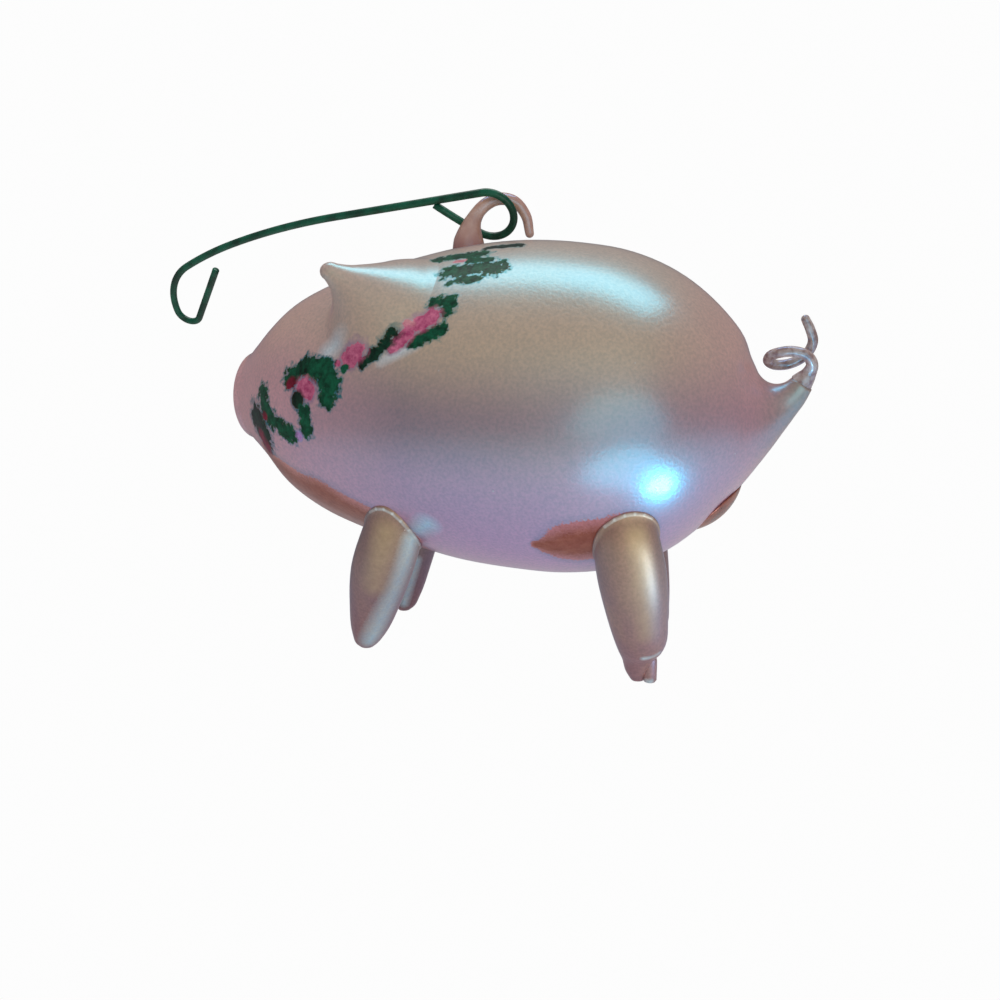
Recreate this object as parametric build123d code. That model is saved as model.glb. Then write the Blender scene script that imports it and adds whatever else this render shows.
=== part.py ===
from build123d import *
import os
from math import cos, radians, sin

os.makedirs("parts", exist_ok=True)

# A blown glass pig ornament on a bent wire hanger.
# Lengths are millimetres. The head points to -X, the tail to +X, and the feet stand on z = 0.
# Everything is drawn with the pig's mid-plane on y = 0 and moved once, at the end.

# Driving dimensions
axis_height = 35.9
belly_radius = 23.3
snout_end = -44.5
snout_radius = 6.5
glass_wall = 1.0
wire_diameter = 1.1
hanger_lean = 35
crook_turn = 30
foot_flat = 0.9
dome_angles = (30, 55, 76)

wire_radius = wire_diameter / 2


def squared(across, along):
    """The unit vector nearest to across that is square to the unit vector along."""
    return (across - along * across.dot(along)).normalized()


def ring(centre, across, along, radius):
    """A circle round the point centre, square to the direction along, with its seam towards across."""
    along = along.normalized()
    return Plane(origin=centre, x_dir=squared(across, along), z_dir=along) * Circle(radius)


def drawn_rod(path, across, radii):
    """A glass rod along a path, running smoothly through the given radii to a melted round end.

    The seam is carried on from ring to ring, so that the rod doesn't twist where the path turns.
    """
    steps = len(radii) - 1
    rings = []
    for i, radius in enumerate(radii):
        along = path % (i / steps)
        across = squared(across, along)
        rings.append(ring(path @ (i / steps), across, along, radius))
    for angle in dome_angles:
        reach = radii[-1] * sin(radians(angle))
        rings.append(ring(path @ 1 + along * reach, across, along, radii[-1] * cos(radians(angle))))
    return loft(rings)


# Body: a blown bulb with a flat snout in front and a cone drawn out behind for the tail.
# Each ring is its station along X, the height of its centre above the axis, its radius and its lean.
snout_rings = [
    (snout_end, -0.1, snout_radius, 0),
    (-43.3, 0.25, 6.95, 0),
    (-41.4, 0.4, 8.45, 0),
    (-38.2, 0.6, 11.25, 0),
]
bulb_rings = [
    (-34.2, 0.3, 14.6, 0),
    (-29.2, 0.1, 17.2, 0),
    (-23.2, 0.0, 19.2, 0),
    (-16.2, 0.0, 20.95, 0),
    (-8.2, 0.0, 22.6, 0),
    (0.0, 0.0, belly_radius, 0),
    (7.8, -0.2, 23.1, 0),
    (14.8, -0.2, 21.85, 0),
    (20.8, -0.2, 19.3, 0),
    (25.8, 0.0, 15.4, 0),
    (29.5, 0.1, 11.25, 0),
]
tail_cone_rings = [
    (31.9, 0.4, 7.4, 6),
    (33.8, 1.1, 4.5, 18),
    (35.6, 2.1, 2.7, 33),
    (37.0, 3.25, 1.9, 46),
    (37.9, 4.5, 1.5, 57),
]
body_rings = snout_rings + bulb_rings + tail_cone_rings
snout_rim = 1.2
rings_past_hollow = 3


def body_section(station, rise, radius, lean):
    along = Vector(cos(radians(lean)), 0, sin(radians(lean)))
    return ring((station, 0, axis_height + rise), Vector(0, 1, 0), along, radius)


def body_outline():
    outer = loft([body_section(*place) for place in body_rings])
    rim = outer.edges().group_by(Axis.X)[0]
    return fillet(rim, snout_rim)


def body_hollow():
    """The space inside the glass: the same rings a wall smaller, closed before the tail cone gets thin."""
    station, rise, radius, lean = body_rings[0]
    sections = [body_section(station + glass_wall, rise, radius - glass_wall, lean)]
    for station, rise, radius, lean in body_rings[1:-rings_past_hollow]:
        sections.append(body_section(station, rise, radius - glass_wall, lean))
    return loft(sections)


body_solid = body_outline()
body_shell = body_solid - body_hollow()


# Ears: cones pulled out of the hot glass, leaning towards the snout.
# Each ring is how far it stands along the line from root to tip, and its radius.
ear_root_station = -16.6
ear_root_angle = 47.5
ear_tip = (-21.9, 17.0, 54.8)
ear_rings = [(-0.28, 9.0), (0.0, 7.5), (0.3, 5.2), (0.6, 3.15), (0.85, 1.8), (1.0, 1.3)]
ear_body_radius = 20.9
ear_root_lean = 0.25
ear_turning = 0.6


def ear():
    """The ear on the +Y side; its rings turn from lying on the body to facing along the ear."""
    angle = radians(ear_root_angle)
    root = Vector(ear_root_station, 0, axis_height) + Vector(0, cos(angle), sin(angle)) * ear_body_radius
    tip = Vector(*ear_tip)
    outward = Vector(-ear_root_lean, cos(angle), sin(angle)).normalized()
    lean = (tip - root).normalized()
    rings = []
    for share, radius in ear_rings:
        facing = outward + (lean - outward) * max(share, 0) * ear_turning
        rings.append(ring(root + (tip - root) * share, Vector(0, 0, 1), facing, radius))
    cone = loft(rings) + Pos(tip) * Sphere(ear_rings[-1][1])
    return cone - body_solid


ear_right = ear()
ear_left = mirror(ear_right, about=Plane.XZ)


# Legs: drops of glass, widest a little below the root, each ending in a small flat where it stands.
# They are shaped by hand, so no two lean alike.
# Each ring is its station along X, its distance out from the mid-plane, its height and its radius.
front_near_rings = [
    (-13.4, 14.2, 25.5, 3.6),
    (-15.5, 13.0, 20.0, 4.3),
    (-17.6, 11.9, 14.4, 4.6),
    (-19.8, 10.5, 7.6, 3.75),
    (-21.5, 9.4, 2.2, 2.4),
    (-22.0, 9.1, 0.7, 1.65),
    (-22.1, 9.0, 0.0, foot_flat),
]
front_far_rings = [
    (-19.0, 12.0, 25.5, 3.2),
    (-20.2, 11.2, 20.0, 3.9),
    (-21.6, 10.4, 14.4, 4.2),
    (-22.7, 9.6, 7.6, 3.5),
    (-23.3, 9.0, 2.2, 2.3),
    (-23.4, 8.8, 0.7, 1.65),
    (-23.5, 8.7, 0.0, foot_flat),
]
rear_near_rings = [
    (17.2, 14.0, 27.0, 3.2),
    (17.6, 14.8, 22.5, 4.1),
    (18.15, 13.5, 17.0, 4.6),
    (18.85, 11.9, 10.4, 4.15),
    (19.25, 10.5, 5.0, 3.1),
    (19.3, 9.6, 1.4, 2.0),
    (19.3, 9.4, 0.0, foot_flat),
]
rear_far_rings = [
    (13.2, 12.4, 27.0, 3.0),
    (13.8, 12.6, 22.5, 3.8),
    (14.7, 11.9, 17.0, 4.1),
    (16.1, 10.9, 10.4, 3.7),
    (17.4, 10.0, 5.0, 2.8),
    (18.1, 9.5, 1.4, 1.9),
    (18.2, 9.4, 0.0, foot_flat),
]
nub_radius = 0.95
nub_height = 3.4
nub_offset = (1.15, 0.1)
nub_rounding = 0.38
near, far = -1, 1


def leg(rings, side):
    """Level rings from inside the body down to the foot, cut to sit on the body."""
    sections = [Pos(x, side * out, z) * Circle(radius) for x, out, z, radius in reversed(rings)]
    return loft(sections) - body_solid


def nub():
    """The end of the glass rod, left standing against the back of the near rear foot."""
    foot_x, foot_out, foot_z, foot_radius = rear_near_rings[-1]
    stub = Cylinder(nub_radius, nub_height, align=(Align.CENTER, Align.CENTER, Align.MIN))
    stub = fillet(stub.edges().group_by(Axis.Z)[0], nub_rounding)
    return Pos(foot_x + nub_offset[0], near * (foot_out + nub_offset[1]), foot_z) * stub


leg_front_left = leg(front_near_rings, near)
leg_front_right = leg(front_far_rings, far)
leg_rear_left = leg(rear_near_rings, near) + nub()
leg_rear_right = leg(rear_far_rings, far)


# Tail: the rod drawn on from the tail cone, curled once round and left standing up.
tail_route = [
    (37.8, 0.0, 40.4),
    (38.6, -0.3, 41.6),
    (39.0, -0.9, 42.9),
    (38.4, -1.5, 44.0),
    (36.7, -1.8, 44.6),
    (35.0, -1.6, 44.45),
    (33.7, -0.8, 43.9),
    (33.4, 0.2, 43.2),
    (34.1, 1.2, 42.65),
    (35.5, 1.8, 42.6),
    (37.1, 1.7, 43.2),
    (38.4, 1.2, 44.4),
    (38.9, 0.6, 45.9),
    (38.5, 0.2, 47.3),
    (37.8, 0.0, 48.7),
]
tail_start_radii = [1.5, 1.25, 1.0, 0.85, 0.76, 0.72, 0.71]
tail_end_radii = [0.69, 0.68, 0.68, 0.67, 0.66, 0.65, 0.63, 0.6, 0.56]
tail_radii = tail_start_radii + [0.7] * 12 + tail_end_radii
tail_path = Spline(*tail_route)
tail_curl = drawn_rod(tail_path, Vector(0, 1, 0), tail_radii) - body_solid


# Hanging crook: a rod melted onto the top of the back and bent over towards the tail.
# Its route lies in an upright plane turned away from the pig's length: along the plane, then up.
crook_foot = Vector(-7.6, 0, 58.3)
crook_route = [
    (-1.0, -1.6),
    (-0.95, 1.1),
    (-0.4, 3.4),
    (0.95, 5.35),
    (3.0, 6.5),
    (5.65, 6.2),
    (7.3, 4.3),
    (7.85, 1.9),
]
crook_foot_radii = [2.5, 2.3, 2.15, 1.8, 1.4, 1.1, 0.95]
crook_radii = crook_foot_radii + [0.92, 0.9, 0.88, 0.86, 0.82, 0.78, 0.75, 0.72, 0.68, 0.63]
crook_plane = Plane(
    origin=crook_foot,
    x_dir=(cos(radians(crook_turn)), sin(radians(crook_turn)), 0),
    z_dir=(sin(radians(crook_turn)), -cos(radians(crook_turn)), 0),
)
crook_path = crook_plane * Spline(*crook_route)
hanging_crook = drawn_rod(crook_path, crook_plane.z_dir, crook_radii) - body_solid


# Blowing seal: the closed end of the blowing tube, a low dome on the lower part of the rump.
seal_centre = Vector(27.4, 0, 22.6)
seal_radius = 4.6
seal_rise = 1.3
seal_slope = 46


def sealed_end():
    """A flattened dome facing down and back, cut to sit on the body."""
    slope = radians(seal_slope)
    facing = Plane(origin=seal_centre, x_dir=(0, 1, 0), z_dir=(cos(slope), 0, -sin(slope)))
    ball_radius = (seal_radius ** 2 + seal_rise ** 2) / (2 * seal_rise)
    ball = facing * Pos(0, 0, seal_rise - ball_radius) * Sphere(ball_radius)
    neck = facing * Cylinder(seal_radius, ball_radius)
    return (ball & neck) - body_solid


blowing_seal = sealed_end()


# Wire hanger: one length of wire with a round eye on the crook and an open hook at the far end.
# It lies in a plane that runs along the pig and leans over to the near side.
rod_in_eye = crook_plane.from_local_coords((*crook_route[3], 0))
hanger_plane = Plane(
    origin=rod_in_eye,
    x_dir=(-1, 0, 0),
    z_dir=(0, cos(radians(hanger_lean)), sin(radians(hanger_lean))),
)
eye_centre = (-0.9, -1.15)
eye_radius = 3.5
shank_dip = 8
eye_turn = 215 + shank_dip
free_end_length = 7.25
# The wire from the eye to the hook's tip as it is bent: each length, and how far it turns over it.
bends = [(23.5, 0), (20.2, -9.7), (10.9, -8.7), (11.2, -60), (5.2, -146), (12.1, 0)]


def wire_route():
    """The middle line of the wire in its own plane, from the free end round the eye to the hook's tip."""
    eye = CenterArc(eye_centre, eye_radius, 90 - shank_dip, eye_turn)
    route = [Line(eye @ 1, eye @ 1 + (eye % 1) * free_end_length), eye]
    place, heading = eye @ 0, eye % 0 * -1
    for length, turn in bends:
        if turn:
            piece = JernArc(place, heading, length / radians(abs(turn)), turn)
        else:
            piece = Line(place, place + heading * length)
        place, heading = piece @ 1, piece % 1
        route.append(piece)
    return Wire([piece.edge() for piece in route])


wire_path = hanger_plane * wire_route()
wire_hanger = sweep(Plane(origin=wire_path @ 0, z_dir=wire_path % 0) * Circle(wire_radius), wire_path)


pieces = {
    "body_shell": body_shell,
    "ear_left": ear_left,
    "ear_right": ear_right,
    "leg_front_left": leg_front_left,
    "leg_front_right": leg_front_right,
    "leg_rear_left": leg_rear_left,
    "leg_rear_right": leg_rear_right,
    "tail_curl": tail_curl,
    "hanging_crook": hanging_crook,
    "blowing_seal": blowing_seal,
    "wire_hanger": wire_hanger,
}

# The whole is moved so that the middle of its bottom is the origin.
box = Compound(list(pieces.values())).bounding_box()
shift = Vector(-box.center().X, -box.center().Y, -box.min.Z)
for name, piece in pieces.items():
    export_step(Pos(shift) * piece, f"parts/{name}.step")

# The hanger swings about a line halfway between the rod in its eye and the middle of the eye.
swing_centre = hanger_plane.from_local_coords((eye_centre[0] / 2, eye_centre[1] / 2, 0)) + shift
print("size", box.size, "moved by", shift)
print("swing centre", swing_centre, "swing axis", hanger_plane.z_dir)
print("near rear foot", Vector(rear_near_rings[-1][0], near * rear_near_rings[-1][1], 0) + shift)
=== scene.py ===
import bmesh
import bpy
import numpy as np
from math import acos, cos, pi, radians, sin
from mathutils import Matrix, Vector


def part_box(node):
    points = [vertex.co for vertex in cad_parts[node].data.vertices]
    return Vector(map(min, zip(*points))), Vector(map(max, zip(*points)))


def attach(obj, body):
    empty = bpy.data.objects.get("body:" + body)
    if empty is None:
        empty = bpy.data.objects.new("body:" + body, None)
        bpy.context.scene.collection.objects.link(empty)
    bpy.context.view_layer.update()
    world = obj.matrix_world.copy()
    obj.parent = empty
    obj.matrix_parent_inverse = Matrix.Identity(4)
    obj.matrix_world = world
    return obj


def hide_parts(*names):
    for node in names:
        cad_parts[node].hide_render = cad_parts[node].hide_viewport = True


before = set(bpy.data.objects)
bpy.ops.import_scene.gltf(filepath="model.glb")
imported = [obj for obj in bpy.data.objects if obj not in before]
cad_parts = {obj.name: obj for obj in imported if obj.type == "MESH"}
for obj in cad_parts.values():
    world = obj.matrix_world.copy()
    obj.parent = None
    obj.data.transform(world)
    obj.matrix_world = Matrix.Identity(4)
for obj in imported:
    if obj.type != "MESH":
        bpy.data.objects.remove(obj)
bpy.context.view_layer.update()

# Camera: a little above the pig on its left, level across, looking slightly down at it.
# Places are in millimetres from the point on the table under the belly's widest ring, which lies
# snout_to_belly behind the snout's flat end.
millimetre = 0.001
snout_to_belly = 44.5
camera_place = (39.67, -138.34, 53.67)
camera_pitch = 77.6
camera_turn = 17.52
camera_lens = 36
camera_sensor = 36
camera_clip = (0.01, 20)

body_low, body_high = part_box("body_shell")
belly = Vector((body_low.x + snout_to_belly * millimetre, 0, 0))


def at(x, y, z):
    """A point in metres from its place in millimetres by the belly's ground point."""
    return belly + Vector((x, y, z)) * millimetre


camera_data = bpy.data.cameras.new("camera")
camera_data.lens = camera_lens
camera_data.sensor_width = camera_sensor
camera_data.clip_start, camera_data.clip_end = camera_clip
camera = bpy.data.objects.new("camera", camera_data)
camera.location = at(*camera_place)
camera.rotation_euler = (radians(camera_pitch), 0, radians(camera_turn))
bpy.context.scene.collection.objects.link(camera)
bpy.context.scene.camera = camera
bpy.context.scene.view_settings.view_transform = "Standard"

# Body: a blown bulb of glass with the snout pressed flat and a cone drawn out behind for the tail.
# Each ring is its station along the pig, the height of its middle above the axis, its radius and its lean.
axis_height = (body_low.z + body_high.z) / 2 / millimetre
snout_end = -snout_to_belly
snout_radius = 6.8
snout_rise = 0.2
snout_rim = 1.0
snout_rim_bend = 66
snout_rim_steps = 6
snout_face_shares = (0, 0.5, 0.85)
body_steps = 5
body_places_round = 128
body_rings = [
    (-43.3, 0.25, 6.95, 0),
    (-41.4, 0.4, 8.45, 0),
    (-38.2, 0.6, 11.25, 0),
    (-34.2, 0.3, 14.6, 0),
    (-29.2, 0.1, 17.2, 0),
    (-23.2, 0.0, 19.2, 0),
    (-16.2, 0.0, 20.95, 0),
    (-8.2, 0.0, 22.6, 0),
    (0.0, 0.0, 23.3, 0),
    (7.8, -0.2, 23.1, 0),
    (14.8, -0.2, 21.85, 0),
    (20.8, -0.2, 19.3, 0),
    (25.8, 0.0, 15.4, 0),
    (29.5, 0.1, 11.25, 0),
    (31.9, 0.4, 7.4, 6),
    (33.8, 1.1, 4.5, 18),
    (35.6, 2.1, 2.7, 33),
    (37.0, 3.25, 1.9, 46),
    (37.9, 4.5, 1.5, 57),
]


def smooth_rows(rows, parts):
    """The rows and, between each two, steps on a smooth curve through all of them."""
    rows = np.array(rows, float)
    gaps = np.linalg.norm(np.diff(rows, axis=0), axis=1)
    slopes = np.gradient(rows, np.concatenate([[0], np.cumsum(gaps)]), axis=0)
    steps = []
    for i, gap in enumerate(gaps):
        for t in np.arange(parts) / parts:
            ease = t * t * (3 - 2 * t)
            bow = slopes[i] * t * (1 - t) ** 2 - slopes[i + 1] * t * t * (1 - t)
            steps.append(rows[i] + (rows[i + 1] - rows[i]) * ease + bow * gap)
    return steps + [rows[-1]]


weld_distance = 1e-6


def wrapped_skin(rows, places_round, place):
    """A closed skin: a grid wrapped round, with each corner moved to place(row, share of the way round)."""
    skin = bmesh.new()
    bmesh.ops.create_grid(skin, x_segments=rows - 1, y_segments=places_round, size=0.5)
    for corner in skin.verts:
        corner.co = place(round((corner.co.x + 0.5) * (rows - 1)), corner.co.y + 0.5)
    bmesh.ops.remove_doubles(skin, verts=skin.verts, dist=weld_distance)
    bmesh.ops.recalc_face_normals(skin, faces=skin.faces)
    return skin


def smooth_object(name, skin):
    """The skin as a smooth object of the scene."""
    for face in skin.faces:
        face.smooth = True
    mesh = bpy.data.meshes.new(name)
    skin.to_mesh(mesh)
    skin.free()
    shown = bpy.data.objects.new(name, mesh)
    bpy.context.scene.collection.objects.link(shown)
    return shown


def finished(name, skin, body):
    """The skin as the looks of the solid of its name, which moves with a body."""
    shown = smooth_object(name + "_look", skin)
    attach(shown, body)
    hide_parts(name)
    return shown


rim_rows = [(snout_end, snout_rise, share * (snout_radius - snout_rim), 0) for share in snout_face_shares]
for step in range(snout_rim_steps + 1):
    bend = radians(snout_rim_bend * step / snout_rim_steps)
    reach = snout_rim * (1 - cos(bend))
    rim_rows.append((snout_end + reach, snout_rise, snout_radius - snout_rim * (1 - sin(bend)), 0))
body_rows = rim_rows[:-1] + smooth_rows([rim_rows[-1]] + body_rings, body_steps)
body_rows.append((body_rings[-1][0], body_rings[-1][1], 0, body_rings[-1][3]))


def body_place(row, share):
    station, rise, radius, lean = body_rows[row]
    round_axis = 2 * pi * share
    up = cos(round_axis) * radius
    return at(station - up * sin(radians(lean)), sin(round_axis) * radius,
              axis_height + rise + up * cos(radians(lean)))


body_skin = wrapped_skin(len(body_rows), body_places_round, body_place)
body_look = finished("body_shell", body_skin, "pig")

# Pearl lacquer: a satin pink-brown sprayed on in thin coats over the whole pig. Its mother-of-pearl flakes
# throw back cyan on the back and lilac under the belly, as the coats get thinner on the way down.
pearl_low = 0.014
pearl_high = 0.058
# The tones over height are partly the lacquer's own and partly painted reflection: a dark band across the
# middle of the sides and a lilac-pink belly.
pearl_tones_and_painted_reflection = [
    (0.0, (0.84, 0.36, 0.50)),
    (0.3, (0.74, 0.34, 0.42)),
    (0.5, (0.49, 0.235, 0.235)),
    (0.72, (0.75, 0.47, 0.30)),
    (1.0, (0.66, 0.46, 0.36)),
]
end_tone = (0.96, 0.43, 0.42, 1)
head_reach = (0.030, 0.010)
head_level = (0.038, 0.048)
head_share_range = (1, 0.35)
rump_reach = (0.020, 0.033)
rump_share_most = 0.6
tail_tone = (0.50, 0.29, 0.20, 1)
tail_reach = (0.032, 0.0375)
film_low = 143
film_high = 165
film_index = 2.3
cloud_size = 0.03
cloud_tone = (0.93, 1.07)
cloud_roughness = (0.28, 0.36)
cloud_film = (-3, 3)
grain_size = 0.0004
grain_tone = (0.88, 1.12)
grain_height = 0.00002
pinhole_spacing = 0.004
pinhole_reach = (0.021, 0.035)
pinhole_colour = (0.78, 0.62, 0.58, 1)


def node_group(name, inputs, outputs):
    """An empty node group with sockets given as (name, kind), and its two end nodes."""
    group = bpy.data.node_groups.new(name, "ShaderNodeTree")
    for socket, kind in inputs:
        group.interface.new_socket(socket, in_out="INPUT", socket_type="NodeSocket" + kind)
    for socket, kind in outputs:
        group.interface.new_socket(socket, in_out="OUTPUT", socket_type="NodeSocket" + kind)
    return group, group.nodes.new("NodeGroupInput"), group.nodes.new("NodeGroupOutput")


def fed(tree, node, *feeds):
    """The node, with its inputs fed by (input, value or output) pairs."""
    for socket, feed in feeds:
        if isinstance(feed, bpy.types.NodeSocket):
            tree.links.new(feed, node.inputs[socket])
        else:
            node.inputs[socket].default_value = feed
    return node


def joined(tree, kind, *feeds, **settings):
    """A new node in the tree, with its settings, fed by (input, value or output) pairs."""
    node = tree.nodes.new("ShaderNode" + kind)
    for setting, value in settings.items():
        setattr(node, setting, value)
    return fed(tree, node, *feeds)


def sum_of(tree, operation, *values):
    """The result of a Math node over one, two or three values."""
    return joined(tree, "Math", *enumerate(values), operation=operation).outputs[0]


def vector_of(tree, operation, *vectors):
    """The result of a Vector Math node: a value for a dot product or a distance, or else a vector."""
    node = joined(tree, "VectorMath", *enumerate(vectors), operation=operation)
    return node.outputs["Value" if operation in ("DOT_PRODUCT", "DISTANCE") else "Vector"]


def mixed(tree, share, first, second):
    """A colour a share of the way from the first to the second; 6, 7 and 2 are the node's colour sockets."""
    return joined(tree, "Mix", ("Factor", share), (6, first), (7, second), data_type="RGBA").outputs[2]


def ramp(tree, factor, stops):
    """A colour ramp through stops of (place, colour), eased between them."""
    node = joined(tree, "ValToRGB", ("Fac", factor))
    node.color_ramp.interpolation = "EASE"
    marks = node.color_ramp.elements
    while len(marks) < len(stops):
        marks.new(0.5)
    for mark, (place, colour) in zip(marks, stops):
        mark.position = place
        mark.color = (*colour, 1)
    return node.outputs["Color"]


def noise(tree, coordinates, size, detail=2.0, roughness=0.5):
    """A noise whose lumps are about size metres across."""
    node = joined(tree, "TexNoise", ("Vector", coordinates), ("Scale", 1 / size), ("Detail", detail),
                  ("Roughness", roughness))
    return node.outputs["Fac"]


def mapped(tree, value, low, high, to_low, to_high):
    node = joined(tree, "MapRange", ("Value", value), ("From Min", low), ("From Max", high),
                  ("To Min", to_low), ("To Max", to_high))
    return node.outputs["Result"]


noise_low = 0.3
noise_high = 0.7


def varied(tree, lumps, low, high):
    """A value that goes from low to high over the middle of a noise's range."""
    return mapped(tree, lumps, noise_low, noise_high, low, high)


def object_place(tree):
    return joined(tree, "TexCoord").outputs["Object"]


pearl, pearl_in, pearl_out = node_group(
    "pearl_lacquer",
    [("Tone", "Color")],
    [("Colour", "Color"), ("Roughness", "Float"), ("Film", "Float"), ("Height", "Float")],
)
pearl_place = object_place(pearl)
pearl_height = joined(pearl, "SeparateXYZ", ("Vector", pearl_place)).outputs["Z"]
clouds = noise(pearl, pearl_place, cloud_size, detail=3)
grain = noise(pearl, pearl_place, grain_size, detail=1)
speckled = vector_of(pearl, "MULTIPLY", pearl_in.outputs["Tone"], varied(pearl, grain, *grain_tone))
clouded = vector_of(pearl, "MULTIPLY", speckled, varied(pearl, clouds, *cloud_tone))
pinhole_cells = joined(pearl, "TexVoronoi", ("Vector", pearl_place), ("Scale", 1 / pinhole_spacing))
pinholes = mapped(pearl, pinhole_cells.outputs["Distance"], *pinhole_reach, 1, 0)
film = sum_of(pearl, "ADD", mapped(pearl, pearl_height, pearl_low, pearl_high, film_low, film_high),
              varied(pearl, clouds, *cloud_film))
fed(pearl, pearl_out, ("Colour", mixed(pearl, pinholes, clouded, pinhole_colour)),
    ("Roughness", varied(pearl, clouds, *cloud_roughness)), ("Film", film),
    ("Height", sum_of(pearl, "SUBTRACT", grain, pinholes)))


def new_material(name):
    """A material with its node tree and its shader."""
    material = bpy.data.materials.new(name)
    material.use_nodes = True
    tree = material.node_tree
    return material, tree, tree.nodes["Principled BSDF"]


def grouped(tree, group, *feeds):
    """A node of the group in the tree, fed by (input, value or output) pairs."""
    node = tree.nodes.new("ShaderNodeGroup")
    node.node_tree = group
    return fed(tree, node, *feeds)


def bumped(tree, shader, height, distance):
    bump = joined(tree, "Bump", ("Height", height), ("Distance", distance))
    tree.links.new(bump.outputs["Normal"], shader.inputs["Normal"])


# Where the body's surface is, for what is painted or melted onto it.
least_radius = 6.7
round_rows = [row for row in body_rows if row[3] == 0 and row[2] > least_radius]
surface_stations = [row[0] for row in round_rows]
surface_rises = [row[1] for row in round_rows]
surface_radii = [row[2] for row in round_rows]


def body_axis(point):
    """The point of the body's bent axis beside the given point, and the body's radius there."""
    station = (point.x - belly.x) / millimetre
    rise = np.interp(station, surface_stations, surface_rises)
    radius = np.interp(station, surface_stations, surface_radii)
    return Vector((point.x, 0, (axis_height + rise) * millimetre)), radius * millimetre


def clearance(point):
    """How far the point stands off the body's surface, straight out from the axis."""
    axis, radius = body_axis(point)
    return (point - axis).length - radius


def on_body(point, lift):
    """The point moved straight in or out to stand off the body's surface by lift."""
    axis, radius = body_axis(point)
    return axis + (point - axis).normalized() * (radius + lift)


def on_side(station, degrees):
    """The point of the body's right side at a station, so many degrees up round the axis from level."""
    turn = radians(degrees)
    reach = body_axis(at(station, 0, 0))[1]
    return on_body(at(station, 0, axis_height) + Vector((0, cos(turn), sin(turn))) * reach, 0)


# Garland: roses and leaves dabbed on over the neck with a small dry brush, the same on both sides.
# Each paint is its dark and light colour, how torn its edges are and how soft they are. Each stroke is its
# paint, where it starts and ends (station, degrees up the side) and half its width.
paints = {
    "leaf": ((0.002, 0.035, 0.018, 1), (0.008, 0.125, 0.062, 1), 0.5, 0.25),
    "dark leaf": ((0.003, 0.012, 0.007, 1), (0.006, 0.055, 0.030, 1), 0.35, 0.25),
    "bud": ((0.004, 0.012, 0.008, 1), (0.012, 0.040, 0.025, 1), 0.1, 0.25),
    "rose": ((0.42, 0.055, 0.16, 1), (0.72, 0.20, 0.34, 1), 0.2, 0.3),
    "pale rose": ((0.62, 0.22, 0.27, 1), (0.85, 0.42, 0.46, 1), 0.2, 0.3),
    "red": ((0.12, 0.006, 0.018, 1), (0.32, 0.015, 0.05, 1), 0.2, 0.3),
    "lilac": ((0.40, 0.18, 0.55, 1), (0.66, 0.42, 0.80, 1), 0.2, 0.3),
    "painted shade": ((0.33, 0.095, 0.068, 1), (0.43, 0.145, 0.105, 1), 0.12, 0.5),
    "black": ((0.006, 0.005, 0.006, 1), (0.015, 0.012, 0.014, 1), 0.08, 0.25),
    "painted pale highlight": ((0.68, 0.90, 1.0, 1), (0.85, 1.0, 1.0, 1), 0.15, 0.9),
    "painted blue reflection": ((0.66, 0.84, 1.0, 1), (0.80, 0.94, 1.0, 1), 0.1, 0.98),
    "painted white highlight": ((0.88, 0.84, 0.86, 1), (1.0, 0.97, 0.98, 1), 0.1, 0.95),
    "painted gold highlight": ((0.50, 0.31, 0.18, 1), (0.60, 0.39, 0.23, 1), 0.15, 0.95),
    "painted seam highlight": ((0.72, 0.78, 0.84, 1), (0.92, 0.98, 1.0, 1), 0.1, 0.8),
}
garland_strokes = [
    ("leaf", (-10, 67), (-3.3, 67), 1.15),
    ("leaf", (-6.7, 56.5), (-0.4, 56.5), 1.8),
    ("leaf", (-4.6, 62), (-2.0, 61.5), 1.0),
    ("leaf", (-4.5, 51.5), (-2.6, 51), 1.0),
    ("leaf", (-6.3, 49.5), (-6.2, 50), 0.6),
    ("pale rose", (-6.8, 62.5), (-5.8, 62.5), 0.5),
    ("dark leaf", (-3.3, 72.5), (0.7, 74), 0.95),
    ("leaf", (-7.2, 41), (-5.5, 42), 1.1),
    ("leaf", (-5.5, 37.5), (-5.1, 39.5), 1.17),
    ("leaf", (-9, 27.5), (-5.6, 31), 1.1),
    ("rose", (-8.8, 33.5), (-7.2, 36), 1.4),
    ("pale rose", (-10.5, 33.5), (-10.2, 33.5), 0.78),
    ("rose", (-12, 26), (-10.2, 30), 1.2),
    ("dark leaf", (-14.3, 24), (-12, 30.5), 1.2),
    ("dark leaf", (-16.5, 20.5), (-14.5, 23.5), 0.85),
    ("rose", (-18.7, 22.5), (-16.7, 26.5), 1.6),
    ("rose", (-20.6, 21), (-20.5, 21), 0.59),
    ("leaf", (-19.4, 18.5), (-19.2, 19), 0.59),
    ("leaf", (-28.6, 15.5), (-25.7, 20.5), 1.62),
    ("dark leaf", (-25.7, 20.5), (-22.6, 18.5), 1.82),
    ("leaf", (-24.5, 19.5), (-22.6, 18.5), 1.5),
    ("leaf", (-22.6, 18.5), (-21.4, 12.5), 1.82),
    ("leaf", (-21.4, 12.5), (-21.9, 7.5), 1.62),
    ("rose", (-26.2, 12), (-25.2, 10.5), 1.5),
    ("red", (-28.6, 13), (-28.2, 14), 0.78),
    ("bud", (-27.2, 6.6), (-27, 6), 1.3),
    ("leaf", (-25.9, 1), (-25.7, -6.5), 1.3),
    ("lilac", (-27.4, -9.5), (-27.2, -9.5), 0.78),
    ("dark leaf", (-36.6, -9.5), (-35.6, -15), 3.1),
    ("leaf", (-34.5, 9), (-33.6, -2), 1.6),
    ("leaf", (-33.6, -2.5), (-28.8, -9.3), 1.5),
    ("red", (-34.3, -3.5), (-34.1, -4), 0.65),
    ("red", (-36.2, -20), (-35.4, -24), 1.4),
]
bristle_size = 0.001
streak_size = 0.0011
streak_span = (0.35, 0.65)

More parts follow.
